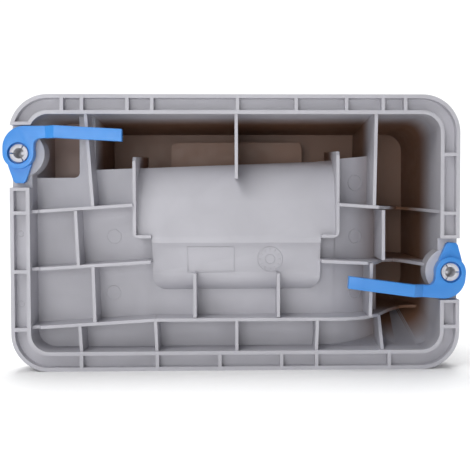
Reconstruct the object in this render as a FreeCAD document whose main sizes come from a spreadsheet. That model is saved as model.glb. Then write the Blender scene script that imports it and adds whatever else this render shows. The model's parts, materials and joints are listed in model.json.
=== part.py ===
"""Ribbed cover half of an electrical junction box, with two quarter-turn locking levers.

Frame: +X to the right, +Y into the housing (away from the open side), +Z up.
The origin is the middle of the bounding box in X and Y, at its lowest point in Z.
Depths are counted from the rim plane into the housing, along +Y.
"""
import FreeCAD, Part

import math
import os

import Sketcher
from FreeCAD import Placement, Rotation, Vector

# name, millimetres (or degrees), what it is
DIMENSIONS = [
    ("outline_width", 330.0, "rim, left to right"),
    ("outline_height", 203.0, "rim, bottom to top"),
    ("outline_radius", 28.0, "outer corners of the rim"),
    ("skirt_wall", 2.8, "outer wall of the rim"),
    ("channel_width", 8.8, "gap between the two rim walls"),
    ("inner_wall", 2.8, "inner wall of the rim"),
    ("flange_depth", 24.0, "rim plane to the shallow floor"),
    ("web_depth", 6.5, "rim plane to the floor of the rim channel"),
    ("web_wall", 2.5, "floor of the rim channel"),
    ("floor_wall", 2.5, "shallow floor"),
    ("hood_depth", 125.0, "rim plane to the outside of the hood"),
    ("hood_wall", 2.8, "hood walls and floor"),
    ("rib_wall", 2.4, "ribs"),
    ("rib_drop", 1.6, "rib tops below the rim plane"),
    ("channel_rib", 2.6, "cross ribs in the rim channel"),
    ("step_height", 51.0, "shallow floor's upper edge above the middle, at the middle"),
    ("step_slope", 0.038, "rise of that edge per millimetre to the right"),
    ("step_end", 58.5, "that edge at the right hood, above the middle"),
    ("band_left", -106.5, "left face of the hood's inside"),
    ("band_inner", 109.8, "left face of the right hood's inside"),
    ("ramp_start", 60.0, "where the floor starts to curve down to the right"),
    ("ramp_radius", 73.0, "radius of that curve"),
    ("cheek_depth", 95.0, "rim plane to the far end of the cheeks"),
    ("corner_depth", 60.0, "rim plane to the floor of the upper left corner"),
    ("corner_right", -118.5, "right face of the upper left corner's inside"),
    ("corner_low", 41.0, "lower face of the upper left corner's inside"),
    ("grip_half", 74.0, "half width of the grip pocket's panel"),
    ("cheek_wall", 2.4, "side cheeks of the grip pocket"),
    ("cheek_drop", 4.5, "cheek tops below the rim plane"),
    ("ledge_depth", 9.5, "rim plane to the grip pocket's ledge"),
    ("grip_wall", 2.5, "grip pocket panel and bowl"),
    ("bowl_half", 63.0, "half width of the grip pocket's bowl"),
    ("bowl_step", 3.0, "bowl's face behind the ledge"),
    ("cheek_top_left", 56.0, "top of the left cheek above the middle"),
    ("cheek_top_right", 60.0, "top of the right cheek above the middle"),
    ("recess_half", 55.0, "half width of the thumb recess"),
    ("recess_depth", 95.0, "rim plane to the thumb recess's face"),
    ("recess_top", 71.5, "top of the thumb recess above the middle"),
    ("pivot_x", 158.4, "lever pivots left and right of the middle"),
    ("pivot_left_z", 58.6, "left pivot above the middle"),
    ("pivot_right_z", -29.6, "right pivot below the middle"),
    ("boss_radius", 17.3, "round boss under each lever"),
    ("boss_drop", 7.5, "boss top below the rim plane"),
    ("seat_arm_side", 20.5, "rim cut-out, pivot to the end wall at the arm"),
    ("seat_tail_side", 25.0, "rim cut-out, pivot to the end wall at the tongue"),
    ("seat_drop", 9.0, "rim cut-out below the rim plane"),
    ("hub_radius", 11.2, "lever hub"),
    ("hub_front", 1.0, "lever hub in front of the rim plane"),
    ("hub_gap", 0.3, "hub above the boss"),
    ("shaft_radius", 5.5, "pivot pin shaft"),
    ("shaft_play", 0.05, "running clearance of the lever's bore"),
    ("head_radius", 6.6, "pivot pin head"),
    ("head_height", 2.4, "pivot pin head"),
    ("recess_radius", 7.9, "counterbore in the lever hub"),
    ("counterbore", 4.6, "depth of the counterbore in the lever hub"),
    ("pin_bore", 3.9, "hollow of the pivot pin"),
    ("pin_slit", 0.9, "slits of the pivot pin"),
    ("pin_root", 12.0, "pivot pin's length inside the boss"),
    ("arm_width", 8.9, "lever arm"),
    ("arm_reach", 75.8, "pivot to the arm's tip"),
    ("arm_rise", 19.8, "pivot to the arm's far edge"),
    ("arm_thick", 6.6, "lever arm"),
    ("arm_lift", 6.0, "the arm's outer part stands forward by this"),
    ("joggle_start", 19.8, "pivot to the start of the joggle"),
    ("joggle_end", 27.0, "pivot to the end of the joggle"),
    ("arm_slant", 3.2, "degrees between the arm's inner and outer part"),
    ("tongue_reach", 21.8, "pivot to the tongue's tip"),
    ("tongue_root", 8.4, "half width of the tongue at the hub"),
    ("tongue_tip", 4.4, "half width of the tongue at its tip"),
    ("tongue_drop", 4.0, "tongue's face below the hub's face"),
    ("right_rest_turn", 4.5, "degrees that the right lever stands off its stop"),
]
SIZE = {name: value for name, value, _ in DIMENSIONS}

# Cross ribs of the rim channel: places along each side, from the middle of the outline.
CHANNEL_RIBS_TOP = [-127.0, -112.5, -79.5, -61.5, 1.0, 44.0, 81.0, 108.0, 124.5]
CHANNEL_RIBS_BOTTOM = [-114.0, -58.5, -12.5, 33.0, 59.0, 113.0]
CHANNEL_RIBS_LEFT = [15.0, -28.0, -70.5]
CHANNEL_RIBS_RIGHT = [57.5, 14.0, -70.0]

# Upright ribs: name, top end (x, z), bottom end (x, z) from the middle of the outline, foot.
ON_FLOOR = "size.flange_depth"
ON_RAMP = "2 * size.flange_depth"
ON_HOOD = "size.hood_depth - size.hood_wall"
UPRIGHT_RIBS = [
    ("upright_rib_upper_left", (-110.2, 90.0), (-105.2, 20.0), ON_FLOOR),
    ("upright_rib_second_row_left", (-117.8, 16.5), (-116.0, -23.5), ON_FLOOR),
    ("upright_rib_third_row_left", (-105.4, -25.0), (-104.2, -65.5), ON_FLOOR),
    ("upright_rib_lower_left", (-115.3, -68.5), (-114.0, -90.0), ON_FLOOR),
    ("upright_rib_lower_inner_left", (-59.8, -65.0), (-58.8, -90.0), ON_FLOOR),
    ("upright_rib_lower_middle", (0.0, -65.0), (0.0, -90.0), ON_FLOOR),
    ("upright_rib_lower_inner_right", (59.8, -65.0), (58.8, -90.0), ON_FLOOR),
    ("upright_rib_under_grip_left", (-30.8, -30.0), (-30.8, -62.5), ON_FLOOR),
    ("upright_rib_under_grip_right", (30.8, -30.0), (30.8, -62.5), ON_FLOOR),
    ("upright_rib_upper_right", (103.3, 90.0), (101.8, 20.0), ON_HOOD),
    ("upright_rib_second_row_right", (108.6, 16.5), (108.6, -20.5), ON_RAMP),
    ("upright_rib_third_row_right", (99.8, -23.0), (99.0, -62.5), ON_RAMP),
    ("hood_middle_web", (0.0, 90.0), (0.0, 40.0), ON_HOOD),
]

doc = FreeCAD.newDocument("cover_half")
sheet = doc.addObject("Spreadsheet::Sheet", "size")
for row, (name, value, note) in enumerate(DIMENSIONS, start=1):
    sheet.set(f"A{row}", name)
    sheet.set(f"B{row}", str(value))
    sheet.set(f"C{row}", note)
    sheet.setAlias(f"B{row}", name)
doc.recompute()

RIM_WIDTH = SIZE["skirt_wall"] + SIZE["channel_width"] + SIZE["inner_wall"]
LEVER_FRONT = SIZE["hub_front"] + SIZE["arm_lift"]
RIM_Y = -(SIZE["hood_depth"] + LEVER_FRONT) / 2 + LEVER_FRONT
MIDDLE_Z = SIZE["outline_height"] / 2
EPS = 1.0


def at(x, depth, z):
    """A point of the part's frame, from the middle of the outline and the rim plane."""
    return Vector(x, RIM_Y + depth, MIDDLE_Z + z)


def bind(obj, **expressions):
    """Bind properties of an object to cells of the sheet."""
    for prop, expression in expressions.items():
        obj.setExpression(prop, expression)


def box(name, low, high):
    """A block between two corners given as (x, depth, z)."""
    block = doc.addObject("Part::Box", name)
    block.Length = high[0] - low[0]
    block.Width = high[1] - low[1]
    block.Height = high[2] - low[2]
    block.Placement = Placement(at(*low), Rotation())
    return block


def wedge(name, depth_near, depth_far, near, far):
    """A block that tapers with depth: near and far are (x_low, x_high, z_low, z_high)."""
    block = doc.addObject("Part::Wedge", name)
    block.Ymin, block.Ymax = depth_near, depth_far
    block.Xmin, block.Xmax, block.Zmin, block.Zmax = near
    block.X2min, block.X2max, block.Z2min, block.Z2max = far
    block.Placement = Placement(at(0, 0, 0), Rotation())
    return block


def boolean(kind, name, base, tool):
    """Part::Cut or Part::Common of two objects."""
    result = doc.addObject(f"Part::{kind}", name)
    result.Base = base
    result.Tool = tool
    return result


def fuse(name, shapes):
    result = doc.addObject("Part::MultiFuse", name)
    result.Shapes = shapes
    return result


def cut(name, base, tools):
    tool = tools[0] if len(tools) == 1 else fuse(name + "_tools", tools)
    return boolean("Cut", name, base, tool)


def common(name, base, tool):
    return boolean("Common", name, base, tool)


def rounded(name, base, radius, chosen):
    """Round the edges of base for which chosen(edge) is true."""
    doc.recompute()
    result = doc.addObject("Part::Fillet", name)
    result.Base = base
    result.Edges = [(number, radius, radius)
                    for number, edge in enumerate(base.Shape.Edges, start=1) if chosen(edge)]
    return result


def depth_line(edge):
    """True for an edge that runs mostly along the depth."""
    return abs(edge.tangentAt(edge.FirstParameter).y) > 0.7


def mean_point(edge):
    """The middle of an edge, from the middle of the outline."""
    middle = edge.CenterOfMass
    return middle.x, middle.y - RIM_Y, middle.z - MIDDLE_Z


def plane_of(body, role):
    return next(item for item in body.Origin.OriginFeatures if item.Role == role)


def new_sketch(body, name, role):
    sketch = body.newObject("Sketcher::SketchObject", name)
    sketch.AttachmentSupport = [(plane_of(body, role), "")]
    sketch.MapMode = "FlatFace"
    return sketch


def add_rounded_rectangle(sketch, width, height, radius):
    """A centred rounded rectangle whose three sizes are bound to expressions."""
    half_w, half_h, corner = 80.0, 50.0, 10.0
    corners = [(1, 1, 0), (-1, 1, 90), (-1, -1, 180), (1, -1, 270)]
    arcs = []
    for side_x, side_y, start in corners:
        centre = Vector(side_x * (half_w - corner), side_y * (half_h - corner), 0)
        circle = Part.Circle(centre, Vector(0, 0, 1), corner)
        arcs.append(sketch.addGeometry(
            Part.ArcOfCircle(circle, math.radians(start), math.radians(start + 90))))
    lines = []
    for index, arc in enumerate(arcs):
        following = arcs[(index + 1) % 4]
        begin = sketch.getPoint(arc, 2)
        end = sketch.getPoint(following, 1)
        line = sketch.addGeometry(Part.LineSegment(begin, end))
        sketch.addConstraint(Sketcher.Constraint("Tangent", arc, 2, line, 1))
        sketch.addConstraint(Sketcher.Constraint("Tangent", line, 2, following, 1))
        lines.append(line)
    for line, direction in zip(lines, ("Horizontal", "Vertical", "Horizontal", "Vertical")):
        sketch.addConstraint(Sketcher.Constraint(direction, line))
    for arc in arcs[1:]:
        sketch.addConstraint(Sketcher.Constraint("Equal", arcs[0], arc))
    sketch.addConstraint(Sketcher.Constraint("Symmetric", arcs[0], 3, arcs[2], 3, -1, 1))
    for label, kind, items, value in (
            ("radius", "Radius", (arcs[0],), corner),
            ("width", "DistanceX", (lines[1], 1, lines[3], 2), 2 * half_w),
            ("height", "DistanceY", (lines[2], 1, lines[0], 1), 2 * half_h)):
        number = sketch.addConstraint(Sketcher.Constraint(kind, *items, value))
        sketch.renameConstraint(number, label)
    bind(sketch, **{"Constraints.radius": radius, "Constraints.width": width,
                    "Constraints.height": height})


def rounded_prism(name, inset, near, far):
    """A rounded rectangular prism, inset from the rim's outline, between two depths."""
    body = doc.addObject("PartDesign::Body", name)
    sketch = new_sketch(body, name + "_plan", "XZ_Plane")
    add_rounded_rectangle(sketch, f"size.outline_width - 2 * ({inset})",
                          f"size.outline_height - 2 * ({inset})",
                          f"size.outline_radius - ({inset})")
    pad = body.newObject("PartDesign::Pad", name + "_pad")
    pad.Profile = sketch
    pad.Reversed = True
    bind(pad, Length=f"({far}) - ({near})")
    sketch.Visibility = False
    body.Placement = Placement(at(0, 0, 0), Rotation())
    body.setExpression("Placement.Base.y", f"{RIM_Y} + ({near})")
    return body


def ring(name, outer_inset, inner_inset, near, far):
    outer = rounded_prism(name + "_outside", outer_inset, near, far)
    inner = rounded_prism(name + "_inside", inner_inset, f"({near}) - {EPS}", f"({far}) + {EPS}")
    return cut(name + "_ring", outer, [inner])


def drawn_pad(name, role, steps, length, placement):
    """A padded outline. Each step is a point, or (middle, point) for an arc through middle."""
    body = doc.addObject("PartDesign::Body", name)
    sketch = new_sketch(body, name + "_plan", role)
    start = Vector(*steps[0], 0)
    here = start
    for step in steps[1:]:
        if isinstance(step[0], tuple):
            middle, there = Vector(*step[0], 0), Vector(*step[1], 0)
            piece = Part.Arc(here, middle, there)
        else:
            there = Vector(*step, 0)
            piece = Part.LineSegment(here, there)
        sketch.addGeometry(piece)
        here = there
    if here.distanceToPoint(start) > 1e-6:
        sketch.addGeometry(Part.LineSegment(here, start))
    for number in range(sketch.GeometryCount):
        sketch.addConstraint(Sketcher.Constraint("Block", number))
    pad = body.newObject("PartDesign::Pad", name + "_pad")
    pad.Profile = sketch
    pad.Reversed = role == "XZ_Plane"
    bind(pad, Length=length)
    body.Placement = placement
    return body


nodes = []


def keep(obj, label):
    """Name the object that becomes a file."""
    obj.Label = label
    nodes.append(obj)
    return obj


# ---- shared tools: the space inside the housing, and the rim cut-outs ----

CHANNEL_OUT = "size.skirt_wall"
CHANNEL_IN = "size.skirt_wall + size.channel_width"
INSIDE = "size.skirt_wall + size.channel_width + size.inner_wall"
HALF_W = SIZE["outline_width"] / 2 - RIM_WIDTH
HALF_H = SIZE["outline_height"] / 2 - RIM_WIDTH
FLOOR = SIZE["flange_depth"]
FLOOR_BACK = FLOOR + SIZE["floor_wall"]
HOOD_FLOOR = SIZE["hood_depth"] - SIZE["hood_wall"]
WALL = SIZE["hood_wall"]
STEP = SIZE["step_height"]

# Insides of the hood, nearer and deeper: (x_low, x_high, z_low, z_high). The step's slope
# takes away the lowest part of the top band.
BAND_LOW = STEP - 6.0
BAND_TOP_NEAR = (SIZE["band_left"], HALF_W, BAND_LOW, HALF_H)
BAND_TOP_FAR = (SIZE["band_left"], HALF_W - 6.0, BAND_LOW, HALF_H - 7.6)
BAND_RIGHT_NEAR = (SIZE["band_inner"], HALF_W, -HALF_H, HALF_H)
BAND_RIGHT_FAR = (SIZE["band_inner"], HALF_W - 6.0, 29.0 - HALF_H, HALF_H - 7.6)
CORNER_NEAR = (-HALF_W, SIZE["corner_right"], SIZE["corner_low"], HALF_H)
CORNER_FAR = (6.5 - HALF_W, SIZE["corner_right"], SIZE["corner_low"], HALF_H - 3.0)
HOOD_CORNER = SIZE["outline_radius"] - RIM_WIDTH
INNER_LEFT = SIZE["band_inner"] - WALL
STEP_HIGH = 60.0


def grown(sides, amount):
    """A cross-section widened on all sides."""
    return (sides[0] - amount, sides[1] + amount, sides[2] - amount, sides[3] + amount)


def under_step(name, amount):
    """Everything below the sloping step, lowered by amount, left of the right hood."""
    left, bend, right = -130.0, SIZE["ramp_start"], SIZE["band_inner"]
    heights = [STEP + SIZE["step_slope"] * x - amount for x in (left, bend)]
    return drawn_pad(name, "XZ_Plane",
                     [(left, -HALF_H - 5), (right, -HALF_H - 5),
                      (right, SIZE["step_end"] - amount), (bend, heights[1]),
                      (left, heights[0])],
                     "size.hood_depth + 10", Placement(at(0, 0, 0), Rotation()))


def hood_block(name, depth_far, amount):
    """The hood's volume, widened by amount, down to depth_far."""
    band = wedge(name + "_whole_band", FLOOR, depth_far,
                 grown(BAND_TOP_NEAR, amount), grown(BAND_TOP_FAR, amount))
    top = cut(name + "_top_band", band, [under_step(name + "_under_step", amount)])
    right = wedge(name + "_right_band", FLOOR, depth_far,
                  grown(BAND_RIGHT_NEAR, amount), grown(BAND_RIGHT_FAR, amount))
    both = fuse(name + "_bands", [top, right])
    return rounded(name + "_rounded", both, HOOD_CORNER + amount,
                   lambda edge: depth_line(edge) and mean_point(edge)[0] > HALF_W - 20)


hood_outside = hood_block("hood_outside", SIZE["hood_depth"], WALL)
hood_inside = hood_block("hood_inside", HOOD_FLOOR, 0.0)


def corner_block(name, depth_far, amount):
    """The upper left corner's volume, widened by amount, down to depth_far."""
    block = wedge(name + "_block", FLOOR, depth_far,
                  grown(CORNER_NEAR, amount), grown(CORNER_FAR, amount))
    outer = rounded(name + "_outer", block, HOOD_CORNER + amount,
                    lambda edge: depth_line(edge) and mean_point(edge)[0] < 20 - HALF_W
                    and mean_point(edge)[2] > 70)
    return rounded(name, outer, 4.0 + amount,
                   lambda edge: depth_line(edge) and mean_point(edge)[0] > -130
                   and mean_point(edge)[2] < 60)


corner_outside = corner_block("corner_outside", SIZE["corner_depth"], WALL)
corner_inside = corner_block("corner_inside", SIZE["corner_depth"] - WALL, 0.0)
opening = rounded_prism("opening", INSIDE, "0", "size.flange_depth")
SIDES = (("left", -1, SIZE["pivot_left_z"]), ("right", 1, SIZE["pivot_right_z"]))


def seat_space(name, side, near, far, margin):
    """The rim cut-out of one lever between two depths, made longer by margin at both ends."""
    pivot_z = SIZE["pivot_left_z"] if side < 0 else SIZE["pivot_right_z"]
    arm_end, tail_end = SIZE["seat_arm_side"] + margin, SIZE["seat_tail_side"] + margin
    z_low = pivot_z - (tail_end if side < 0 else arm_end)
    z_high = pivot_z + (arm_end if side < 0 else tail_end)
    x_inner, x_outer = HALF_W - EPS, SIZE["outline_width"] / 2 + EPS
    x_low, x_high = (-x_outer, -x_inner) if side < 0 else (x_inner, x_outer)
    return box(name, (x_low, near, z_low), (x_high, far, z_high))


def pivot_cylinder(name, side, pivot_z, near, far, radius):
    """A cylinder about a lever's pivot between two depths."""
    cylinder = doc.addObject("Part::Cylinder", name)
    bind(cylinder, Radius=radius)
    cylinder.Height = far - near
    cylinder.Placement = Placement(at(side * SIZE["pivot_x"], near, pivot_z),
                                   Rotation(Vector(1, 0, 0), -90))
    return cylinder


# ---- the floor's curve down into the right hood ----

def ramp_block(name, radius, x_end, amount):
    """What lies in front of a curve of that radius, widened by amount at the bottom wall."""
    start, centre = SIZE["ramp_start"], FLOOR + SIZE["ramp_radius"]

    def on_curve(x):
        return x, centre - math.sqrt(radius ** 2 - (x - start) ** 2)

    middle = start + (x_end - start) * 0.6
    plan = drawn_pad(name + "_plan", "XY_Plane",
                     [(start, FLOOR - EPS), on_curve(start),
                      (on_curve(middle), on_curve(x_end)), (x_end, FLOOR - EPS)],
                     "size.outline_height", Placement(at(0, 0, -MIDDLE_Z), Rotation()))
    sides = wedge(name + "_sides", FLOOR, HOOD_FLOOR,
                  (start - EPS, x_end, BAND_RIGHT_NEAR[2] - amount, STEP_HIGH),
                  (start - EPS, x_end, BAND_RIGHT_FAR[2] - amount, STEP_HIGH))
    return common(name, common(name + "_between", plan, sides),
                  under_step(name + "_under_step", 0.0))


ramp_inside = ramp_block("ramp_inside", SIZE["ramp_radius"], SIZE["band_inner"], 0.0)
ramp_outside = ramp_block("ramp_outside", SIZE["ramp_radius"] - SIZE["floor_wall"],
                          INNER_LEFT, WALL)


# ---- rim: two walls, a floor between them and cross ribs ----

def rim_part(label, ring_shape):
    gaps = [seat_space(f"{label}_{word}_gap", side, -EPS, FLOOR + EPS, SIZE["rib_wall"])
            for word, side, _ in SIDES]
    keep(cut(label + "_cut", ring_shape, gaps), label)


rim_part("rim_outer_wall", ring("rim_outer", "0", CHANNEL_OUT, "0", "size.flange_depth"))
rim_part("rim_inner_wall", ring("rim_inner", CHANNEL_IN, INSIDE, "0", "size.flange_depth"))
rim_part("rim_channel_floor", ring("rim_channel", CHANNEL_OUT, CHANNEL_IN, "size.web_depth",
                                   "size.web_depth + size.web_wall"))


def rim_channel_ribs():
    """The cross ribs, trimmed to the channel between the two rim walls."""
    half = SIZE["channel_rib"] / 2
    outer_x, outer_z = SIZE["outline_width"] / 2, SIZE["outline_height"] / 2
    plates = []
    for places, z_low, z_high in ((CHANNEL_RIBS_TOP, HALF_H, outer_z),
                                  (CHANNEL_RIBS_BOTTOM, -outer_z, -HALF_H)):
        for place in places:
            plates.append(box("channel_rib", (place - half, 0, z_low),
                              (place + half, SIZE["web_depth"], z_high)))
    for places, x_low, x_high in ((CHANNEL_RIBS_LEFT, -outer_x, -HALF_W),
                                  (CHANNEL_RIBS_RIGHT, HALF_W, outer_x)):
        for place in places:
            plates.append(box("channel_rib", (x_low, 0, place - half),
                              (x_high, SIZE["web_depth"], place + half)))
    channel = ring("rib_channel", CHANNEL_OUT, CHANNEL_IN, "0", "size.web_depth")
    keep(common("channel_ribs", channel, fuse("channel_rib_plates", plates)),
         "rim_channel_ribs")


rim_channel_ribs()


# ---- pivot seats: end walls, low floor and round boss in each rim cut-out ----

def pivot_seat(word, side, pivot_z):
    band = ring(f"seat_band_{word}", "0", INSIDE, "0", "size.flange_depth")
    stock = common(f"seat_stock_{word}", band,
                   seat_space(f"seat_whole_{word}", side, 0, FLOOR, SIZE["rib_wall"]))
    front = seat_space(f"seat_front_{word}", side, -EPS, SIZE["seat_drop"], 0)
    groove = ring(f"seat_groove_{word}", CHANNEL_OUT, CHANNEL_IN,
                  "size.seat_drop + size.web_wall", f"size.flange_depth + {EPS}")
    back = common(f"seat_back_{word}", groove,
                  seat_space(f"seat_back_space_{word}", side, 0, FLOOR + 2 * EPS, 0))
    block = cut(f"seat_block_{word}", stock, [front, back])
    boss = pivot_cylinder(f"boss_{word}", side, pivot_z, SIZE["boss_drop"], FLOOR,
                          "size.boss_radius")
    outline = rounded_prism(f"boss_limit_{word}", "0", "0", "size.flange_depth")
    seat = fuse(f"seat_fused_{word}", [block, common(f"boss_trimmed_{word}", boss, outline)])
    bore = pivot_cylinder(f"boss_bore_{word}", side, pivot_z, 0,
                          SIZE["boss_drop"] + SIZE["pin_root"], "size.shaft_radius")
    keep(cut(f"seat_{word}", seat, [bore]), f"pivot_seat_{word}")


def bosses(name, near, far):
    """Both boss cylinders, to keep other pieces out of them."""
    return [pivot_cylinder(f"{name}_{word}", side, pivot_z, near, far, "size.boss_radius")
            for word, side, pivot_z in SIDES]


for word, side, pivot_z in SIDES:
    pivot_seat(word, side, pivot_z)


# ---- grip pocket: panel that curves into the hood, ledge, bowl and cheeks ----

LEDGE = SIZE["ledge_depth"]
LEDGE_Z = -4.0
CHEEK_LIP_Z = LEDGE_Z + SIZE["cheek_wall"]
BOWL_LOW = -44.5
PANEL_BACK = 46.0
GRIP_BACK = PANEL_BACK + 2.0


def grip_profile(offset, back):
    """Section of the grip pocket as (depth, z), from the step wall over panel and bowl."""
    lower = LEDGE + offset
    top = STEP_HIGH - 5.0 - offset
    bowl = lower + SIZE["bowl_step"]
    return [
        (back, top),
        (PANEL_BACK, top),
        ((24.0 + offset * 0.7, 42.5 - offset * 0.7), (lower + 5.0, 22.0 - offset)),
        (lower, LEDGE_Z),
        (lower, LEDGE_Z - 4.0 + offset),
        (bowl, LEDGE_Z - 4.0 + offset),
        (bowl + 3.5, BOWL_LOW + 14.0 + offset),
        ((bowl + 6.0, BOWL_LOW + 5.0 + offset), (FLOOR_BACK, BOWL_LOW + offset)),
        (back, BOWL_LOW + offset),
    ]


def grip_block(name, offset, back):
    """The volume behind the grip pocket's face: wide panel above, rounded bowl below."""
    half_panel, half_bowl = SIZE["grip_half"] - offset, SIZE["bowl_half"] - offset
    section = drawn_pad(name + "_section", "YZ_Plane", grip_profile(offset, back),
                        "2 * size.grip_half", Placement(at(-SIZE["grip_half"], 0, 0), Rotation()))
    panel_zone = box(name + "_panel_zone", (-half_panel, 0, CHEEK_LIP_Z + offset),
                     (half_panel, back, STEP_HIGH))
    bowl_zone = box(name + "_bowl_zone", (-half_bowl, 0, BOWL_LOW + offset),
                    (half_bowl, back, LEDGE_Z + 10.0))
    bowl_round = rounded(name + "_bowl_round", bowl_zone, 12.0 - offset,
                         lambda edge: depth_line(edge) and mean_point(edge)[2] < LEDGE_Z)
    return common(name, section, fuse(name + "_zones", [panel_zone, bowl_round]))


def grip_pocket():
    outside = common("grip_limited", grip_block("grip_outside", 0.0, GRIP_BACK),
                     under_step("grip_under_step", 0.0))
    inside = grip_block("grip_inside", SIZE["grip_wall"], GRIP_BACK + EPS)
    behind = box("grip_behind", (-SIZE["grip_half"] - EPS, FLOOR_BACK, BOWL_LOW - EPS),
                 (SIZE["grip_half"] + EPS, GRIP_BACK + EPS, 36.0))
    shell = cut("grip_shell", outside, [inside, behind, hood_outside])
    upper = box("grip_upper_zone", (-100, 0, LEDGE_Z - 4.0), (100, 60, STEP_HIGH))
    keep(common("grip_upper", shell, upper), "grip_panel")
    keep(cut("grip_lower", shell, [upper]), "grip_bowl")
    return outside


def grip_cheeks():
    """Thin side walls that run on past the panel into the hood."""
    outer_half = SIZE["grip_half"] + SIZE["cheek_wall"]
    lip = CHEEK_LIP_Z
    near = SIZE["cheek_drop"]
    deep = SIZE["cheek_depth"]
    outer = rounded("cheek_outer", box("cheek_outer_block",
                                       (-outer_half, near, lip - SIZE["cheek_wall"]),
                                       (outer_half, deep, 70.0)), 5.0,
                    lambda edge: depth_line(edge) and mean_point(edge)[2] < 0)
    inner = box("cheek_inner", (-SIZE["grip_half"], near - EPS, lip),
                (SIZE["grip_half"], deep + EPS, 71.0))
    middle = box("cheek_middle", (-SIZE["bowl_half"], near - EPS, lip - 10),
                 (SIZE["bowl_half"], GRIP_BACK + EPS, lip + EPS))
    below = cut("cheek_below", under_step("cheek_under_step", 0.0),
                [box("cheek_front", (-200, -EPS, -110), (200, GRIP_BACK, 110))])
    ring_part = cut("cheek_ring", outer, [inner, middle, below])
    sides = []
    for word, low, high, foot in (("left", -outer_half, 0.0, FLOOR),
                                  ("right", 0.0, outer_half, FLOOR + 6.0)):
        top = SIZE[f"cheek_top_{word}"]
        side = drawn_pad(f"cheek_side_{word}", "YZ_Plane",
                         [(near, lip - 5), (near, top - 3.0), (near + 3.0, top),
                          (deep, top + 3.0), (deep, STEP - 8), (GRIP_BACK, STEP - 8),
                          (foot, 34.0), (foot, lip - 5)],
                         f"{high - low}", Placement(at(low, 0, 0), Rotation()))
        sides.append(keep(common(f"cheek_{word}", ring_part, side), f"grip_cheek_{word}"))
    return sides


grip_outside = grip_pocket()
cheeks = grip_cheeks()

# ---- shallow floor, upper left corner pocket, hood walls, floor and thumb recess ----


def shallow_floor():
    plate = rounded_prism("floor_plate", CHANNEL_IN, "size.flange_depth",
                          "size.flange_depth + size.floor_wall")
    hole = box("grip_hole", (-SIZE["grip_half"], FLOOR - EPS, LEDGE_Z),
               (SIZE["grip_half"], 60, STEP_HIGH))
    edges = [box("floor_edge", low, high) for low, high in (
        ((INNER_LEFT, 0, -110), (200, 60, 110)), ((SIZE["band_left"] - WALL, 0, 62), (200, 60, 110)),
        ((SIZE["ramp_start"], 0, -110), (200, 60, -HALF_H)),
        ((-200, 0, 46), (-150, 60, 110)), ((-200, 0, 80), (-120, 60, 110)))]
    clear = [hood_outside, grip_outside, hole] + cheeks
    keep(cut("floor_cut", plate, clear + edges + [corner_outside, ramp_outside]),
         "shallow_floor")
    keep(cut("curved_floor_cut", ramp_outside, clear + [ramp_inside]), "curved_floor")


def corner_pocket():
    keep(cut("corner_shell", corner_outside, [corner_inside]), "upper_corner_pocket")


def thumb_recess():
    """A raised pad inside the hood that is a recess from outside."""
    half = SIZE["recess_half"]
    near = SIZE["recess_depth"]
    block = rounded("recess_block", box("recess_outer_block", (-half, near, BAND_LOW),
                                        (half, SIZE["hood_depth"], SIZE["recess_top"])), 5.0,
                    lambda edge: depth_line(edge) and mean_point(edge)[2] > 60)
    outer = cut("recess_outer", block, [under_step("recess_under_step", 0.0)])
    inner = box("recess_inner", (-half + WALL, near + WALL, STEP + WALL + 2.0),
                (half - WALL, SIZE["hood_depth"] + EPS, SIZE["recess_top"] - WALL))
    keep(cut("recess_shell", outer, [inner]), "thumb_recess")
    return outer


def hood():
    """The hood's shell, taken apart into its walls and floors, one after another."""
    half_room = SIZE["grip_half"] + SIZE["cheek_wall"]
    panel_front = cut("panel_front", box("panel_room", (-half_room, 0, 20),
                                         (half_room, GRIP_BACK, STEP_HIGH)), [grip_outside])
    rest = cut("hood_shell", hood_outside,
               [hood_inside, panel_front, recess_outer, ramp_inside] + cheeks)
    deep = SIZE["hood_depth"] + EPS
    left, right = SIZE["band_left"], SIZE["band_inner"]
    split_x, split_z = right + 12.0, STEP + 12.0
    zones = {
        "hood_right_floor": ((right, HOOD_FLOOR, -110), (200, deep, 110)),
        "hood_top_floor": ((left, HOOD_FLOOR, 40), (right, deep, 110)),
        "hood_inner_wall": ((INNER_LEFT, 0, -110), (right, deep, STEP_HIGH)),
        "hood_left_wall": ((-200, 0, -110), (left, deep, 110)),
        "hood_top_wall": ((left, 0, split_z), (split_x, deep, 110)),
        "hood_right_wall": ((split_x, 0, -110), (200, deep, 110)),
        "hood_lower_wall": ((left, 0, 0), (INNER_LEFT, deep, STEP_HIGH)),
        "hood_bottom_wall": ((right, 0, -110), (split_x, deep, 0)),
    }
    for label, (low, high) in zones.items():
        zone = box(label + "_zone", low, high)
        keep(common(label + "_cut", rest, zone), label)
        rest = cut(label + "_rest", rest, [zone])


recess_outer = thumb_recess()
shallow_floor()
corner_pocket()
hood()

# ---- ribs, all trimmed to the space inside the housing ----

cavity = cut("cavity", fuse("cavity_volume", [opening, hood_inside, corner_inside, ramp_inside,
                                              box("panel_space", (-SIZE["grip_half"], 0, 20),
                                                  (SIZE["grip_half"], GRIP_BACK, STEP_HIGH))]),
             [grip_outside, recess_outer] + cheeks + bosses("rib_limit", 0, FLOOR))


def upright_rib(label, top, bottom, foot):
    """A plate between two points of the rim plane, down to the depth of its foot."""
    plate = doc.addObject("Part::Box", label + "_plate")
    bind(plate, Length="size.rib_wall", Width=f"{foot} - size.rib_drop")
    plate.Height = math.dist(top, bottom)
    lean = math.degrees(math.atan2(top[0] - bottom[0], top[1] - bottom[1]))
    turn = Rotation(Vector(0, 1, 0), lean)
    corner = turn.multVec(Vector(-SIZE["rib_wall"] / 2, 0, 0))
    plate.Placement = Placement(at(bottom[0], SIZE["rib_drop"], bottom[1]) + corner, turn)
    keep(common(label + "_cut", plate, upright_room), label)


DROP = SIZE["rib_drop"]
NOTCH = 5.4
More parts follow.
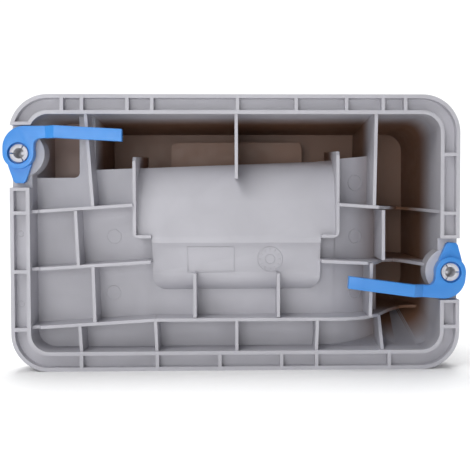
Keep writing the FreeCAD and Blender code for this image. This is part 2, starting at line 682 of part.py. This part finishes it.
# Level ribs: name, left end (x, z), right end (x, z), top edge as (x, depth).
LEVEL_RIBS = [
    ("level_rib_upper_left", (-HALF_W, 15.8), (-76.0, 20.6),
     [(-HALF_W, NOTCH), (-HALF_W + 5.0, NOTCH), (-HALF_W + 7.0, DROP), (-76.0, DROP)]),
    ("level_rib_upper_right", (76.0, 20.6), (HALF_W, 15.2),
     [(76.0, DROP), (105.0, DROP), (112.0, 13.0), (122.0, 45.0), (131.0, 70.0), (135.0, 73.0),
      (138.0, 68.0), (HALF_W, 4.0)]),
    ("level_rib_middle_left", (-HALF_W, -26.5), (-63.0, -21.3),
     [(-HALF_W, NOTCH), (-HALF_W + 5.0, NOTCH), (-HALF_W + 7.0, DROP), (-63.0, DROP)]),
    ("level_rib_middle_right", (63.0, -21.3), (HALF_W, -25.5),
     [(63.0, DROP), (97.0, DROP), (106.0, 14.0), (114.0, 38.0), (124.0, 46.0), (133.0, 36.0),
      (HALF_W - 9.0, 16.0), (HALF_W, 16.0)]),
    ("level_rib_lower_left", (-HALF_W, -69.5), (-60.0, -64.2),
     [(-HALF_W, NOTCH), (-HALF_W + 5.0, NOTCH), (-HALF_W + 7.0, DROP), (-60.0, DROP)]),
    ("level_rib_lower_middle", (-60.0, -64.2), (60.0, -64.2), [(-60.0, DROP), (60.0, DROP)]),
    ("level_rib_lower_right", (60.0, -64.2), (HALF_W, -64.2),
     [(60.0, DROP), (80.0, DROP), (96.0, 8.0), (108.0, 21.0), (113.0, 32.0), (122.0, 50.0),
      (133.0, 66.0), (140.0, 69.0), (HALF_W, 69.0)]),
]


def level_rib(label, left, right, top_edge):
    """A plate with a shaped top edge, drawn from above and tilted to its ends."""
    lean = math.degrees(math.atan2(left[1] - right[1], right[0] - left[0]))
    outline = [(x - left[0], depth) for x, depth in top_edge]
    outline += [(right[0] - left[0], HOOD_FLOOR), (0.0, HOOD_FLOOR)]
    turn = Rotation(Vector(0, 1, 0), lean)
    corner = turn.multVec(Vector(0, 0, -SIZE["rib_wall"] / 2))
    plate = drawn_pad(label + "_plate", "XY_Plane", outline, "size.rib_wall",
                      Placement(at(left[0], 0, left[1]) + corner, turn))
    return common(label + "_cut", plate, cavity)


level_shapes = [keep(level_rib(*row), row[0]) for row in LEVEL_RIBS]
upright_room = cut("upright_room", cavity, level_shapes)
for row in UPRIGHT_RIBS:
    upright_rib(*row)


def sloping_rib():
    """The rib at the lower right, whose top edge falls towards the level rib."""
    half = SIZE["rib_wall"] / 2
    plate = drawn_pad("sloping_rib_plate", "YZ_Plane",
                      [(4.0, -HALF_H), (21.0, -64.0), (60.0, -64.0), (60.0, -HALF_H)],
                      "size.rib_wall",
                      Placement(at(INNER_LEFT + 1.4 - half, 0, 0), Rotation()))
    keep(common("sloping_rib_cut", plate, upright_room), "upright_rib_lower_right")


sloping_rib()


# ---- pivot pins and levers ----

def pivot_pin(word, side, pivot_z):
    """A hollow split pin: shaft in the boss, head in the lever's counterbore."""
    shoulder = SIZE["counterbore"] - SIZE["hub_front"] - 0.1
    head_top = shoulder - SIZE["head_height"]
    end = SIZE["boss_drop"] + SIZE["pin_root"]
    shaft = pivot_cylinder(f"pin_shaft_{word}", side, pivot_z, shoulder - EPS, end,
                           "size.shaft_radius")
    head = pivot_cylinder(f"pin_head_{word}", side, pivot_z, head_top, shoulder,
                          "size.head_radius")
    hollow = pivot_cylinder(f"pin_hollow_{word}", side, pivot_z, head_top - EPS,
                            end - SIZE["web_wall"], "size.pin_bore")
    slits = []
    for turn in (60, 180, 300):
        slit = doc.addObject("Part::Box", f"pin_slit_{word}")
        bind(slit, Length="size.head_radius + 1", Height="size.pin_slit")
        slit.Width = SIZE["boss_drop"] - head_top
        rotation = Rotation(Vector(0, 1, 0), turn if side < 0 else turn + 180)
        corner = rotation.multVec(Vector(0, 0, -SIZE["pin_slit"] / 2))
        slit.Placement = Placement(at(side * SIZE["pivot_x"], head_top - EPS, pivot_z) + corner,
                                   rotation)
        slits.append(slit)
    key_width = 2.2
    key_x = side * SIZE["pivot_x"] - side * SIZE["pin_bore"]
    key = box(f"pin_key_{word}", (min(key_x, key_x + side * key_width), head_top + EPS,
                                  pivot_z - key_width / 2),
              (max(key_x, key_x + side * key_width), end - SIZE["web_wall"],
               pivot_z + key_width / 2))
    split = cut(f"pin_split_{word}", fuse(f"pin_solid_{word}", [shaft, head]), [hollow] + slits)
    keep(fuse(f"pin_{word}", [split, key]), f"pivot_pin_{word}")


def lever_outline():
    """The arm and its stem from the pivot: (towards the tip, towards the arm's side)."""
    radius, rise = SIZE["hub_radius"], SIZE["arm_rise"]
    low = rise - SIZE["arm_width"]
    corner = 16.0
    middle = (corner - radius, rise - corner)
    slope = math.tan(math.radians(SIZE["arm_slant"]))
    fall = (SIZE["arm_reach"] - SIZE["joggle_end"]) * slope
    bend = corner * math.sqrt(0.5)
    fillet = 5.0
    inner = fillet * (1 - math.sqrt(0.5))
    return [
        (-radius, 0.0),
        (-radius, middle[1]),
        ((middle[0] - bend, middle[1] + bend), (middle[0], rise)),
        (SIZE["joggle_end"], rise),
        (SIZE["arm_reach"], rise - fall),
        (SIZE["arm_reach"], low - fall),
        (SIZE["joggle_end"], low),
        (radius + fillet, low),
        ((radius + inner, low - inner), (radius, low - fillet)),
        (radius, 0.0),
    ]


def lever(word, side, pivot_z, turn):
    """One lever, built about its own pivot with the rim plane at depth 0, then placed."""
    front = -SIZE["hub_front"]
    back = SIZE["boss_drop"] - SIZE["hub_gap"]
    lift, thick = SIZE["arm_lift"], SIZE["arm_thick"]
    start, end = SIZE["joggle_start"], SIZE["joggle_end"]
    plan = drawn_pad(f"lever_plan_{word}", "XZ_Plane", lever_outline(), "30",
                     Placement(Vector(0, -15, 0), Rotation()))
    side_view = drawn_pad(f"lever_side_{word}", "XY_Plane",
                          [(-20.0, front), (start, front), (end, front - lift),
                           (90.0, front - lift), (90.0, front - lift + thick),
                           (end, front - lift + thick), (start, front + thick),
                           (-20.0, front + thick)],
                          "60", Placement(Vector(0, 0, -20), Rotation()))
    arm = common(f"lever_arm_{word}", plan, side_view)

    def round_piece(name, near, far, radius):
        cylinder = doc.addObject("Part::Cylinder", name)
        bind(cylinder, Radius=radius)
        cylinder.Height = far - near
        cylinder.Placement = Placement(Vector(0, near, 0), Rotation(Vector(1, 0, 0), -90))
        return cylinder

    hub = round_piece(f"lever_hub_{word}", front, back, "size.hub_radius")
    root, tip, reach = SIZE["tongue_root"], SIZE["tongue_tip"], SIZE["tongue_reach"]
    tongue = drawn_pad(f"lever_tongue_{word}", "XZ_Plane",
                       [(-root, -4.0), (-root, -9.0), (-tip, -reach + 1.5), (-tip + 1.5, -reach),
                        (tip - 1.5, -reach), (tip, -reach + 1.5), (root, -9.0), (root, -4.0)],
                       f"{back - front} - size.tongue_drop",
                       Placement(Vector(0, front + SIZE["tongue_drop"], 0), Rotation()))
    bore = round_piece(f"lever_bore_{word}", front - EPS, back + EPS,
                       "size.shaft_radius + size.shaft_play")
    recess = round_piece(f"lever_recess_{word}", front - EPS, front + SIZE["counterbore"],
                         "size.recess_radius")
    solid = fuse(f"lever_solid_{word}", [arm, hub, tongue])
    whole = cut(f"lever_{word}_cut", solid, [bore, recess])
    whole.Placement = Placement(at(side * SIZE["pivot_x"], 0, pivot_z),
                                Rotation(Vector(0, 1, 0), turn))
    keep(whole, f"lever_{word}")


for word, side, pivot_z in SIDES:
    pivot_pin(word, side, pivot_z)
lever("left", -1, SIZE["pivot_left_z"], 0.0)
lever("right", 1, SIZE["pivot_right_z"], 180.0 + SIZE["right_rest_turn"])

# ---- checks and files ----

doc.recompute()
for item in doc.Objects:
    if "Invalid" in item.State or "Error" in item.State:
        raise SystemExit(f"{item.Name} failed: {item.State}")
for node in nodes:
    shape = node.Shape
    if shape.isNull() or not shape.isValid() or not shape.Solids:
        raise SystemExit(f"{node.Label} has no valid solid")

os.makedirs("parts", exist_ok=True)
for node in nodes:
    node.Shape.exportStep(f"parts/{node.Label}.step")
    bounds = node.Shape.BoundBox
    print(f"{node.Label:34s} solids {len(node.Shape.Solids):2d}  volume {node.Shape.Volume:10.1f}"
          f"  x {bounds.XMin:7.1f} {bounds.XMax:7.1f}  y {bounds.YMin:6.1f} {bounds.YMax:6.1f}"
          f"  z {bounds.ZMin:6.1f} {bounds.ZMax:6.1f}")
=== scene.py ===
"""Looks of the junction box cover half: one grey moulding, two blue levers, two split pins.

Everything is in metres in the part's own frame: +X to the right, +Y into the housing away
from its open side, +Z up, the lower edge of the rim on the floor.
"""

import json
import math

import bmesh
import bpy
from mathutils import Matrix, Vector
from mathutils.bvhtree import BVHTree


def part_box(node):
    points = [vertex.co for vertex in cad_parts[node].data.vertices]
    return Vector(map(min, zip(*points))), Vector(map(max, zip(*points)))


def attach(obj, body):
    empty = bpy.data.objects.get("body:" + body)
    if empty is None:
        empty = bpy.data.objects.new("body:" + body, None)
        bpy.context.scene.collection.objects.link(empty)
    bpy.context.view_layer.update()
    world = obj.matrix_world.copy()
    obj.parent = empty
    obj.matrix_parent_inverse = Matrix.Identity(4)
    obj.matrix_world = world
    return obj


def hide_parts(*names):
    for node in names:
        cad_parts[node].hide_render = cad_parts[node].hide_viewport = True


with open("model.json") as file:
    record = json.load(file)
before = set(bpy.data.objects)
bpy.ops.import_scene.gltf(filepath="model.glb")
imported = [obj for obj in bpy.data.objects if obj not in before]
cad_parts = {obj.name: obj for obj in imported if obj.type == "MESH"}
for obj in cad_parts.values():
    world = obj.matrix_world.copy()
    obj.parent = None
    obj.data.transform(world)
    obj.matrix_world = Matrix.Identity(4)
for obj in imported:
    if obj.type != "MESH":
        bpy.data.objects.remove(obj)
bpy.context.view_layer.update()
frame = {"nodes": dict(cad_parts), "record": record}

MM = 0.001
WELD = 0.002 * MM
SMOOTH_LOW, SMOOTH_HIGH = math.radians(1.5), math.radians(30)
SLIVER = 0.02 * MM
FLAT, CORNER = math.radians(0.6), math.radians(40)
RIM_LOW, RIM_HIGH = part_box("rim_outer_wall")
RIM_Y = RIM_LOW.y
MIDDLE_Z = (RIM_LOW.z + RIM_HIGH.z) / 2
FLOOR_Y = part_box("shallow_floor")[0].y
CHANNEL_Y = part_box("rim_channel_floor")[0].y
# Depths behind the floor where the painted shade in the hood starts and where it is full.
SHADE_START_Y = FLOOR_Y + 6 * MM
SHADE_FULL_Y = FLOOR_Y + 40 * MM


# ---- mesh helpers ----

def welded_copy(node):
    """A copy of a CAD node's mesh with its loose triangles joined."""
    mesh = bmesh.new()
    mesh.from_mesh(frame["nodes"][node].data)
    bmesh.ops.remove_doubles(mesh, verts=mesh.verts, dist=WELD)
    bmesh.ops.recalc_face_normals(mesh, faces=mesh.faces)
    return mesh


def join_flat_faces(mesh):
    """Turn the triangles of each flat face into one face."""
    bmesh.ops.dissolve_limit(mesh, angle_limit=FLAT, verts=mesh.verts, edges=mesh.edges)


def sharp_edges(mesh, limit):
    """The closed edges where two faces meet at more than that angle."""
    return [edge for edge in mesh.edges if edge.is_manifold and edge.calc_face_angle() > limit]


def bevel_edges(mesh, edges, width, segments):
    """Round edges as a moulding tool does."""
    bmesh.ops.bevel(mesh, geom=edges, offset=width, offset_type="OFFSET", affect="EDGES",
                    segments=segments, profile=0.5, material=-1, clamp_overlap=True)


def as_object(name, mesh):
    """A mesh as an object at the origin. The bmesh is used up."""
    data = bpy.data.meshes.new(name)
    mesh.to_mesh(data)
    mesh.free()
    piece = bpy.data.objects.new(name, data)
    bpy.context.scene.collection.objects.link(piece)
    return piece


def finish_piece(name, mesh, material, body, replaced=()):
    """A finished piece: curved faces smooth, flat ones flat, a material, its place in the frame."""
    for face in mesh.faces:
        face.smooth = any(edge.is_manifold and SMOOTH_LOW < edge.calc_face_angle() < SMOOTH_HIGH
                          for edge in face.edges)
    for edge in sharp_edges(mesh, SMOOTH_HIGH):
        edge.smooth = False
    piece = as_object(name, mesh)
    piece.data.materials.append(material)
    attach(piece, body)
    if replaced:
        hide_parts(*replaced)
    return piece


# ---- material helpers ----

def linear(hex_colour):
    """An sRGB hex colour as a linear RGBA."""
    channels = [int(hex_colour[start:start + 2], 16) / 255 for start in (1, 3, 5)]
    return (*(c / 12.92 if c <= 0.04045 else ((c + 0.055) / 1.055) ** 2.4 for c in channels), 1.0)


def add_node(tree, kind, links=None, **settings):
    """Add a node. A setting is a property, or an input given by its name; links feed inputs."""
    node = tree.nodes.new(kind)
    for name, value in settings.items():
        if hasattr(node, name):
            setattr(node, name, value)
        else:
            node.inputs[name.replace("_", " ")].default_value = value
    for name, output in (links or {}).items():
        tree.links.new(output, node.inputs[name])
    return node


def new_material(name):
    """An empty material with its tree, shader and Object coordinates."""
    material = bpy.data.materials.new(name)
    material.use_nodes = True
    tree = material.node_tree
    tree.nodes.clear()
    shader = add_node(tree, "ShaderNodeBsdfPrincipled")
    add_node(tree, "ShaderNodeOutputMaterial", {"Surface": shader.outputs["BSDF"]})
    place = add_node(tree, "ShaderNodeTexCoord").outputs["Object"]
    return material, tree, shader, place


def per_mm(size):
    """Scale of a noise whose marks are about that many millimetres across."""
    return 1 / (size * MM)


def moulded_plastic(name, light, dark, roughness, ior, grain, grain_height, edge_radius,
                    deep=None):
    """Injection-moulded plastic: slow colour drift, fine tool grain and softened edges."""
    material, tree, shader, place = new_material(name)
    drift = add_node(tree, "ShaderNodeTexNoise", {"Vector": place}, Scale=per_mm(45),
                     Detail=3.0, Distortion=0.6)
    spread = add_node(tree, "ShaderNodeMapRange", {"Value": drift.outputs["Fac"]},
                      From_Min=0.3, From_Max=0.7)
    colour = add_node(tree, "ShaderNodeMix", data_type="RGBA")
    tree.links.new(spread.outputs["Result"], colour.inputs[0])
    colour.inputs[6].default_value = linear(dark)
    colour.inputs[7].default_value = linear(light)
    tint = colour.outputs[2]
    # Painted shade: with deep given, the colour darkens and warms with depth inside the hood.
    if deep:
        tint = painted_depth_shade(tree, place, tint, deep)
    tree.links.new(tint, shader.inputs["Base Color"])

    rub = add_node(tree, "ShaderNodeTexNoise", {"Vector": place}, Scale=per_mm(9), Detail=5.0)
    gloss = add_node(tree, "ShaderNodeMapRange", {"Value": rub.outputs["Fac"]},
                     From_Min=0.3, From_Max=0.7, To_Min=roughness - 0.05,
                     To_Max=roughness + 0.05)
    tree.links.new(gloss.outputs["Result"], shader.inputs["Roughness"])

    soft = add_node(tree, "ShaderNodeBevel", samples=6, Radius=edge_radius * MM)
    texture = add_node(tree, "ShaderNodeTexNoise", {"Vector": place}, Scale=per_mm(grain),
                       Detail=2.0)
    bump = add_node(tree, "ShaderNodeBump",
                    {"Height": texture.outputs["Fac"], "Normal": soft.outputs["Normal"]},
                    Strength=0.35, Distance=grain_height * MM)
    tree.links.new(bump.outputs["Normal"], shader.inputs["Normal"])
    shader.inputs["IOR"].default_value = ior
    return material


def painted_depth_shade(tree, place, colour, deep):
    """Painted shade: the colour turns to deep, a darker and warmer colour, between two depths
    behind the shallow floor.
    """
    depth = add_node(tree, "ShaderNodeSeparateXYZ", {"Vector": place}).outputs["Y"]
    share = add_node(tree, "ShaderNodeMapRange", {"Value": depth}, From_Min=SHADE_START_Y,
                     From_Max=SHADE_FULL_Y, To_Min=0.0, To_Max=1.0)
    mixed = add_node(tree, "ShaderNodeMix", data_type="RGBA")
    tree.links.new(share.outputs["Result"], mixed.inputs[0])
    tree.links.new(colour, mixed.inputs[6])
    mixed.inputs[7].default_value = linear(deep)
    return mixed.outputs[2]


# Polystyrene blend, injection-moulded in a fine spark-eroded tool: an even light grey with a
# cool cast and a soft sheen. The real grain of 0.1 mm is too fine to show, so it is drawn
# 0.8 mm wide.
GREY_FINISH = ("#BCBBC2", "#B2B1B8", 0.47, 1.55, 0.8, 0.05, 0.3)
grey_moulding = moulded_plastic("light_grey_moulded_plastic", *GREY_FINISH)

# The same plastic on the faces inside the hood, with painted shade: its colour turns warmer and
# darker with depth, standing in for the shade deep in the hood.
painted_shade_moulding = moulded_plastic("grey_moulded_plastic_painted_shade", *GREY_FINISH, deep="#8C6853")

# ABS, injection-moulded in a smoother tool: a clear sky blue with a satin gloss.
blue_moulding = moulded_plastic("sky_blue_moulded_abs", "#3F90DF", "#3584D5", 0.36, 1.53,
                                1.0, 0.03, 0.4)

# Acetal, injection-moulded in a polished tool: paler and smoother than the box.
pin_moulding = moulded_plastic("pale_grey_moulded_acetal", "#D2D2D6", "#C8C8CD", 0.34, 1.48,
                               1.2, 0.02, 0.3)


# ---- the housing, one seamless moulding ----

HOUSING_NODES = [node for node in frame["record"]["behaviour"]["bodies"]["housing"]
                 if not node.startswith("pivot_pin")]


def joined_moulding(nodes):
    """Exact union of copies of CAD nodes, so that no joint shows between them."""
    parts = [as_object("piece_of_" + node, welded_copy(node)) for node in nodes]
    first, rest = parts[0], parts[1:]
    tools = bpy.data.collections.new("moulding_parts")
    bpy.context.scene.collection.children.link(tools)
    for part in rest:
        tools.objects.link(part)
    union = first.modifiers.new("union", "BOOLEAN")
    union.operation = "UNION"
    union.operand_type = "COLLECTION"
    union.collection = tools
    union.solver = "EXACT"
    bpy.context.view_layer.update()
    evaluated = first.evaluated_get(bpy.context.evaluated_depsgraph_get())
    mesh = bmesh.new()
    mesh.from_mesh(evaluated.to_mesh())
    evaluated.to_mesh_clear()
    for part in parts:
        data = part.data
        bpy.data.objects.remove(part)
        bpy.data.meshes.remove(data)
    bpy.data.collections.remove(tools)
    return mesh


def inner_faces(mesh):
    """The deep faces that look into the hood or the corner pocket, not out of the box.

    Such a face looks to the open side, or straight at another face. The thumb recess and the
    hood's left sides look at other faces too, but from outside.
    """
    reach, lift, wall, play, frontal = 300 * MM, 0.1 * MM, 1.5 * MM, 0.05 * MM, -0.7
    tree = BVHTree.FromBMesh(mesh)
    recess_low, recess_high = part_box("thumb_recess")
    outer_sides = [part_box(node)[0].x for node in ("hood_left_wall", "hood_inner_wall")]
    largest = {}
    for loops in mesh.calc_loop_triangles():
        points = [loop.vert.co for loop in loops]
        area = (points[1] - points[0]).cross(points[2] - points[0]).length
        if area > largest.get(loops[0].face, (0.0, None))[0]:
            largest[loops[0].face] = (area, sum(points, Vector()) / 3)
    chosen = []
    for face, (_, centre) in largest.items():
        if max(vert.co.y for vert in face.verts) < SHADE_START_Y:
            continue
        in_recess = (recess_low.x + wall < centre.x < recess_high.x - wall
                     and recess_low.z + wall < centre.z < recess_high.z - wall
                     and centre.y > recess_low.y + wall)
        outer_side = any(abs(centre.x - side) < play for side in outer_sides)
        faces_open_side = face.normal.y < frontal
        hit = tree.ray_cast(centre + face.normal * lift, face.normal, reach)[0]
        if (faces_open_side or hit) and not (in_recess or outer_side):
            chosen.append(face)
    return chosen


moulding = joined_moulding(HOUSING_NODES)
bmesh.ops.dissolve_degenerate(moulding, dist=SLIVER, edges=moulding.edges)
# The faces inside the hood and the corner pocket take the second material, with painted shade that
# darkens with depth.
for face in inner_faces(moulding):
    face.material_index = 1
housing_piece = finish_piece("housing_moulding", moulding, grey_moulding, "housing",
                             HOUSING_NODES)
housing_piece.data.materials.append(painted_shade_moulding)


# ---- levers and pivot pins ----

def softened_copy(node, width, segments):
    """A welded copy of a CAD node with its edges rounded."""
    mesh = welded_copy(node)
    join_flat_faces(mesh)
    bevel_edges(mesh, sharp_edges(mesh, CORNER), width, segments)
    return mesh


for side in ("left", "right"):
    finish_piece(f"{side}_lever_moulding", softened_copy(f"lever_{side}", 1.1 * MM, 4),
                 blue_moulding, f"{side}_lever", [f"lever_{side}"])
    finish_piece(f"{side}_pin_moulding", softened_copy(f"pivot_pin_{side}", 0.25 * MM, 2),
                 pin_moulding, "housing", [f"pivot_pin_{side}"])


# ---- moulding marks: ejector rings, and plain raised marks on the bowl ----

def at(x, depth, z):
    """A place given in millimetres from the middle of the outline and the rim plane."""
    return Vector((x * MM, RIM_Y + depth * MM, MIDDLE_Z + z * MM))


MARK_ROOT = 0.3
MARK_EDGE = 0.12


def add_ring(mesh, matrix, radius, width, height):
    """A low ring that stands forward from its plane; matrix places it."""
    corners = [(radius - width / 2, MARK_ROOT), (radius - width / 4, -height),
               (radius + width / 4, -height), (radius + width / 2, MARK_ROOT)]
    points = [mesh.verts.new((across * MM, rise * MM, 0)) for across, rise in corners]
    edges = [mesh.edges.new((points[i], points[(i + 1) % 4])) for i in range(4)]
    before = set(mesh.verts) - set(points)
    bmesh.ops.spin(mesh, geom=points + edges, cent=(0, 0, 0), axis=(0, 1, 0),
                   angle=math.tau, steps=40, use_merge=True)
    bmesh.ops.transform(mesh, matrix=matrix, verts=[v for v in mesh.verts if v not in before])


def add_bar(mesh, matrix, length, width, height):
    """A low bar along local X with softened edges; matrix places it."""
    size = Matrix.Diagonal((length * MM, (height + MARK_ROOT) * MM, width * MM, 1))
    place = matrix @ Matrix.Translation((0, (MARK_ROOT - height) / 2 * MM, 0)) @ size
    bar = bmesh.ops.create_cube(mesh, size=1.0, matrix=place)["verts"]
    edges = list({edge for vert in bar for edge in vert.link_edges})
    bevel_edges(mesh, edges, MARK_EDGE * MM, 2)


def turned_about_depth(degrees):
    """A turn about the depth axis."""
    return Matrix.Rotation(math.radians(degrees), 4, "Y")


FLOOR_DEPTH = (FLOOR_Y - RIM_Y) / MM
CHANNEL_DEPTH = (CHANNEL_Y - RIM_Y) / MM
# Rings left by the ejector pins: x, depth, z, radius, lean about the upright axis.
RAMP_DEPTH, RAMP_LEAN = 30.9, 25.1
EJECTOR_RINGS = [
    (91.4, RAMP_DEPTH, 37.0, 6.0, RAMP_LEAN), (91.4, RAMP_DEPTH, -4.4, 5.3, RAMP_LEAN),
    (91.4, RAMP_DEPTH, -47.2, 5.3, RAMP_LEAN), (-93.6, FLOOR_DEPTH, -46.4, 5.3, 0.0),
    (-92.8, FLOOR_DEPTH, -3.6, 5.3, 0.0), (-159.0, CHANNEL_DEPTH, -0.4, 2.1, 0.0),
    (-159.0, CHANNEL_DEPTH, -52.4, 2.1, 0.0),
]
marks = bmesh.new()
for x, depth, z, radius, lean in EJECTOR_RINGS:
    add_ring(marks, Matrix.Translation(at(x, depth, z))
             @ Matrix.Rotation(math.radians(lean), 4, "Z"), radius, 0.8, 0.25)
bmesh.ops.recalc_face_normals(marks, faces=marks.faces)
finish_piece("ejector_marks", marks, grey_moulding, "housing")

# Plain raised marks on the bowl: an empty frame on the left, a ring dial on the right.
BOWL_Z, BOWL_DEPTH, BOWL_LEAN = -20.5, 14.4, 8.8
FRAME_X, FRAME_WIDE, FRAME_HIGH = -19.5, 35.0, 19.0
DIAL_X, DIAL_RADII = 25.0, (3.6, 9.4)
DIAL_TICKS, TICK_RADIUS, TICK_LONG, TICK_WIDE, TICK_HIGH = 12, 7.4, 1.8, 0.6, 0.35
LINE_WIDE, LINE_HIGH = 0.9, 0.4


def on_bowl(x, z):
    """The place on the bowl's sloping face, x and z from the middle of its marks."""
    return (Matrix.Translation(at(0, BOWL_DEPTH, BOWL_Z))
            @ Matrix.Rotation(math.radians(BOWL_LEAN), 4, "X")
            @ Matrix.Translation((x * MM, 0, z * MM)))


raised = bmesh.new()
for sign in (-1, 1):
    add_bar(raised, on_bowl(FRAME_X, sign * FRAME_HIGH / 2), FRAME_WIDE, LINE_WIDE, LINE_HIGH)
    add_bar(raised, on_bowl(FRAME_X + sign * FRAME_WIDE / 2, 0) @ turned_about_depth(90),
            FRAME_HIGH, LINE_WIDE, LINE_HIGH)
dial = on_bowl(DIAL_X, 0)
for radius in DIAL_RADII:
    add_ring(raised, dial, radius, LINE_WIDE, LINE_HIGH)
for tick in range(DIAL_TICKS):
    add_bar(raised, dial @ turned_about_depth(360 / DIAL_TICKS * tick)
            @ Matrix.Translation((TICK_RADIUS * MM, 0, 0)), TICK_LONG, TICK_WIDE, TICK_HIGH)
bmesh.ops.recalc_face_normals(raised, faces=raised.faces)
finish_piece("bowl_marks", raised, grey_moulding, "housing")


# ---- floor, lights and camera ----

# Matt white paper sweep: pale, even and without gloss.
paper, paper_tree, paper_shader, paper_place = new_material("matt_white_paper")
fibre = add_node(paper_tree, "ShaderNodeTexNoise", {"Vector": paper_place}, Scale=per_mm(4))
paper_shade = add_node(paper_tree, "ShaderNodeMix", data_type="RGBA")
paper_tree.links.new(fibre.outputs["Fac"], paper_shade.inputs[0])
paper_shade.inputs[6].default_value = linear("#F6F6F6")
paper_shade.inputs[7].default_value = linear("#FAFAFA")
paper_tree.links.new(paper_shade.outputs[2], paper_shader.inputs["Base Color"])
paper_shader.inputs["Roughness"].default_value = 0.9
paper_shader.inputs["Specular IOR Level"].default_value = 0.1

SWEEP_HALF, SWEEP_BACK, SWEEP_BEND, SWEEP_TOP = 4.0, 1.6, 0.6, 3.0
BEND_STEPS = 16


def only(kind, items):
    """The items of one kind: vertices or edges."""
    return [item for item in items if isinstance(item, kind)]


def sweep_sheet():
    """A sheet that lies on the floor, bends up behind the box and stands upright."""
    sheet = bmesh.new()
    front = [sheet.verts.new((x, -SWEEP_HALF, 0)) for x in (-SWEEP_HALF, SWEEP_HALF)]
    front_edge = sheet.edges.new(front)
    grown = bmesh.ops.extrude_edge_only(sheet, edges=[front_edge])["geom"]
    bend_verts = only(bmesh.types.BMVert, grown)
    bend_edges = [edge for edge in only(bmesh.types.BMEdge, grown)
                  if all(vert in bend_verts for vert in edge.verts)]
    bmesh.ops.translate(sheet, verts=bend_verts, vec=(0, SWEEP_HALF + SWEEP_BACK - SWEEP_BEND, 0))
    turned = bmesh.ops.spin(sheet, geom=bend_edges + bend_verts,
                            cent=(0, SWEEP_BACK - SWEEP_BEND, SWEEP_BEND), axis=(1, 0, 0),
                            angle=math.radians(90), steps=BEND_STEPS)["geom_last"]
    grown = bmesh.ops.extrude_edge_only(sheet, edges=only(bmesh.types.BMEdge, turned))["geom"]
    bmesh.ops.translate(sheet, verts=only(bmesh.types.BMVert, grown),
                        vec=(0, 0, SWEEP_TOP - SWEEP_BEND))
    for face in sheet.faces:
        face.smooth = True
    bmesh.ops.recalc_face_normals(sheet, faces=sheet.faces)
    return sheet


backdrop = as_object("paper_sweep", sweep_sheet())
backdrop.data.materials.append(paper)


def area_light(name, place, target, size, watts, colour="#FFFFFF"):
    """A square soft light aimed at a point."""
    data = bpy.data.lights.new(name, "AREA")
    data.size = size
    data.energy = watts
    data.color = linear(colour)[:3]
    light = bpy.data.objects.new(name, data)
    aim = (Vector(target) - Vector(place)).to_track_quat("-Z", "Y")
    light.matrix_world = Matrix.Translation(place) @ aim.to_matrix().to_4x4()
    bpy.context.scene.collection.objects.link(light)


middle = at(0, 0, 0)
area_light("key_upper_left", (-0.6, -0.8, 1.1), middle, 0.8, 8.5)
area_light("fill_front", (-0.2, -1.3, 0.2), middle, 0.6, 5.0)
area_light("backdrop_wash", (0.0, 0.5, 2.4), (0, 1.5, 0.3), 1.6, 60)

world = bpy.data.worlds.new("pale_studio")
world.use_nodes = True
background = world.node_tree.nodes["Background"]
background.inputs["Color"].default_value = linear("#FFFFFF")
background.inputs["Strength"].default_value = 0.11
bpy.context.scene.world = world
bpy.context.scene.view_settings.view_transform = "Standard"

# The camera stands 0.62 m in front of the rim, a little above its middle.
camera_data = bpy.data.cameras.new("camera")
camera_data.lens = 64.7
camera_data.shift_x = -0.0548
camera_data.shift_y = -0.0383
camera = bpy.data.objects.new("camera", camera_data)
YAW, PITCH, ROLL = 0.0265, -0.0318, 0.002
camera.matrix_world = (Matrix.Translation(at(1.4, -619.5, 31.4))
                       @ Matrix.Rotation(-YAW, 4, "Z")
                       @ Matrix.Rotation(math.radians(90) + PITCH, 4, "X")
                       @ Matrix.Rotation(-ROLL, 4, "Z"))
bpy.context.scene.collection.objects.link(camera)
bpy.context.scene.camera = camera
